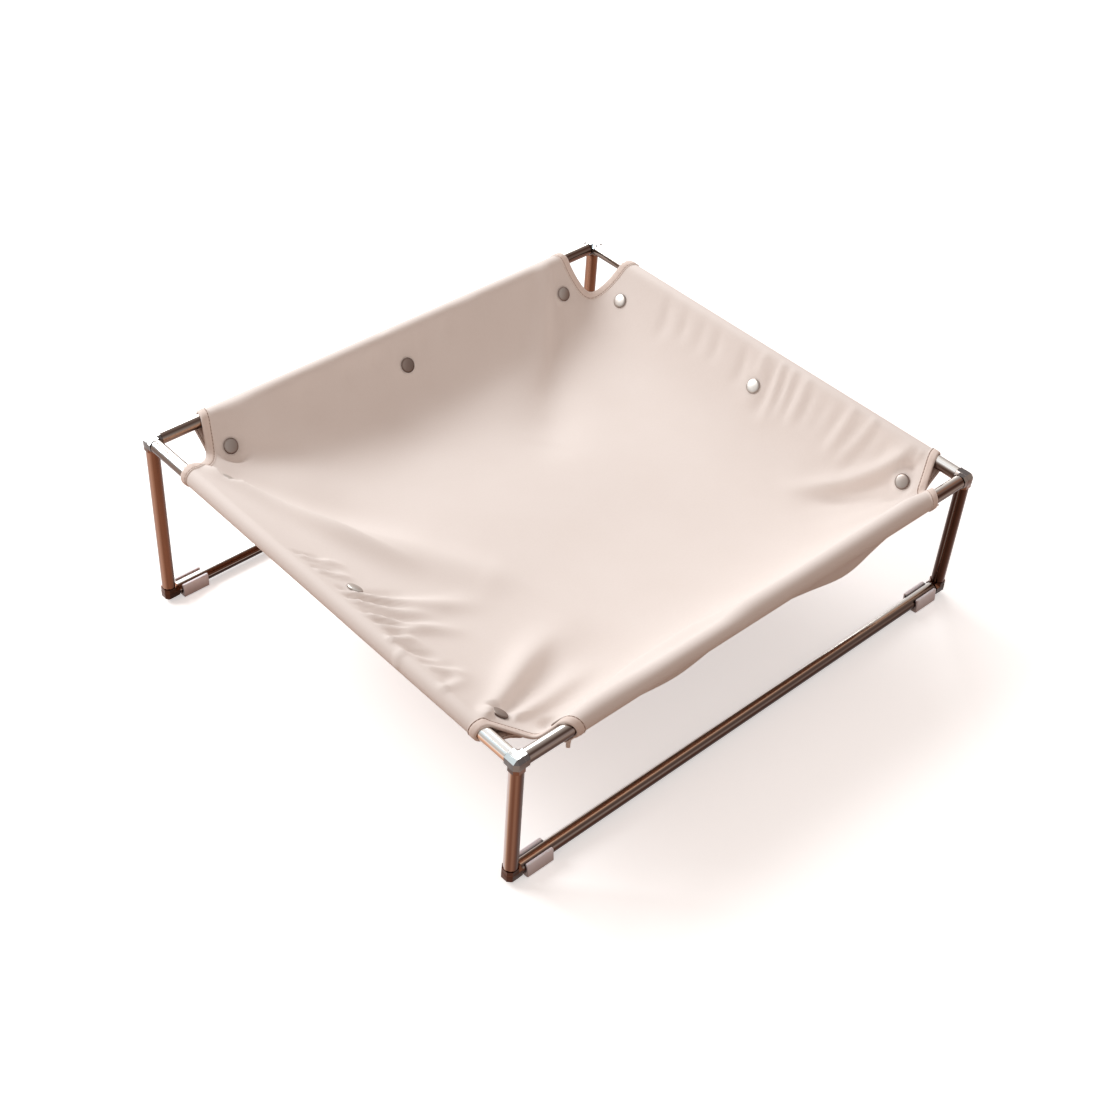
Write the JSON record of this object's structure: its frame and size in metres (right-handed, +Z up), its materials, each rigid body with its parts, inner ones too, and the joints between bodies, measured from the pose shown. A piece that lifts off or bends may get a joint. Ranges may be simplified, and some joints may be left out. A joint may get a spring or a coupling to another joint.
{
  "type": "cat hammock",
  "caption": "Low free-standing pet hammock: a fabric sling with hollowed corners, wrapped and snapped round the top rails of a plug-together metal tube frame on clip-on feet.",
  "frame": {"origin": "on the floor plane, under the middle of the whole object's box", "axes": "+X along the bottom rails, to the right seen from the front; +Y from the low front to the high rear; +Z up"},
  "size_m": [0.5625, 0.5309, 0.1999],
  "materials": {
    "polished_tube": "polished bright metal tube with faint lengthwise draw lines",
    "chromed_fitting": "bright chrome plating on a cast fitting",
    "foot_plastic": "pale pinkish grey moulded plastic, satin",
    "sling_cloth": "smooth pale pink-beige woven cloth, matt",
    "binding_tape": "folded tape in the cloth's colour with one line of stitches",
    "snap_metal": "satin nickel plated snap button"
  },
  "bodies": {
    "frame_and_sling": {"top_rail_front": "polished_tube", "top_rail_rear": "polished_tube", "top_rail_left": "polished_tube", "top_rail_right": "polished_tube", "bottom_rail_front": "polished_tube", "bottom_rail_rear": "polished_tube", "leg_front_left": "polished_tube", "leg_front_right": "polished_tube", "leg_rear_left": "polished_tube", "leg_rear_right": "polished_tube", "corner_fitting_front_left": "chromed_fitting", "corner_fitting_front_right": "chromed_fitting", "corner_fitting_rear_left": "chromed_fitting", "corner_fitting_rear_right": "chromed_fitting", "elbow_front_left": "chromed_fitting", "elbow_front_right": "chromed_fitting", "elbow_rear_left": "chromed_fitting", "elbow_rear_right": "chromed_fitting", "sling_panel": "sling_cloth", "corner_binding_front_left": "binding_tape", "corner_binding_front_right": "binding_tape", "corner_binding_rear_left": "binding_tape", "corner_binding_rear_right": "binding_tape", "snap_cap_front_left": "snap_metal", "snap_cap_front_middle": "snap_metal", "snap_cap_front_right": "snap_metal", "snap_cap_rear_left": "snap_metal", "snap_cap_rear_middle": "snap_metal", "snap_cap_rear_right": "snap_metal", "snap_cap_left_front": "snap_metal", "snap_cap_left_middle": "snap_metal", "snap_cap_left_rear": "snap_metal", "snap_cap_right_front": "snap_metal", "snap_cap_right_middle": "snap_metal", "snap_cap_right_rear": "snap_metal"},
    "front_flap": {"flap_front": "sling_cloth", "flap_binding_front": "binding_tape", "snap_stud_front_left": "snap_metal", "snap_stud_front_middle": "snap_metal", "snap_stud_front_right": "snap_metal"},
    "rear_flap": {"flap_rear": "sling_cloth", "flap_binding_rear": "binding_tape", "snap_stud_rear_left": "snap_metal", "snap_stud_rear_middle": "snap_metal", "snap_stud_rear_right": "snap_metal"},
    "left_flap": {"flap_left": "sling_cloth", "flap_binding_left": "binding_tape", "snap_stud_left_front": "snap_metal", "snap_stud_left_middle": "snap_metal", "snap_stud_left_rear": "snap_metal"},
    "right_flap": {"flap_right": "sling_cloth", "flap_binding_right": "binding_tape", "snap_stud_right_front": "snap_metal", "snap_stud_right_middle": "snap_metal", "snap_stud_right_rear": "snap_metal"},
    "front_left_foot": {"foot_clip_front_left": "foot_plastic"},
    "front_right_foot": {"foot_clip_front_right": "foot_plastic"},
    "rear_left_foot": {"foot_clip_rear_left": "foot_plastic"},
    "rear_right_foot": {"foot_clip_rear_right": "foot_plastic"}
  },
  "joints": [
    {"name": "front_flap_turn", "type": "hinge", "parent": "frame_and_sling", "child": "front_flap", "pos_m": [0, -0.26101, 0.1323], "axis": [-1, 0, 0], "range_deg": [0, 120]},
    {"name": "rear_flap_turn", "type": "hinge", "parent": "frame_and_sling", "child": "rear_flap", "pos_m": [0, 0.24426, 0.18498], "axis": [1, 0, 0], "range_deg": [0, 120]},
    {"name": "left_flap_turn", "type": "hinge", "parent": "frame_and_sling", "child": "left_flap", "pos_m": [-0.27468, -0.00847, 0.15714], "axis": [0, 0.9947, 0.103], "range_deg": [0, 120]},
    {"name": "right_flap_turn", "type": "hinge", "parent": "frame_and_sling", "child": "right_flap", "pos_m": [0.27801, -0.00865, 0.1588], "axis": [0, -0.9947, -0.103], "range_deg": [0, 120]},
    {"name": "front_left_foot_turn", "type": "hinge", "parent": "frame_and_sling", "child": "front_left_foot", "pos_m": [-0.247, -0.24323, 0.00915], "axis": [1, 0, 0], "continuous": true},
    {"name": "front_right_foot_turn", "type": "hinge", "parent": "frame_and_sling", "child": "front_right_foot", "pos_m": [0.247, -0.24323, 0.00915], "axis": [1, 0, 0], "continuous": true},
    {"name": "rear_left_foot_turn", "type": "hinge", "parent": "frame_and_sling", "child": "rear_left_foot", "pos_m": [-0.247, 0.25692, 0.00915], "axis": [1, 0, 0], "continuous": true},
    {"name": "rear_right_foot_turn", "type": "hinge", "parent": "frame_and_sling", "child": "rear_right_foot", "pos_m": [0.247, 0.25692, 0.00915], "axis": [1, 0, 0], "continuous": true}
  ]
}
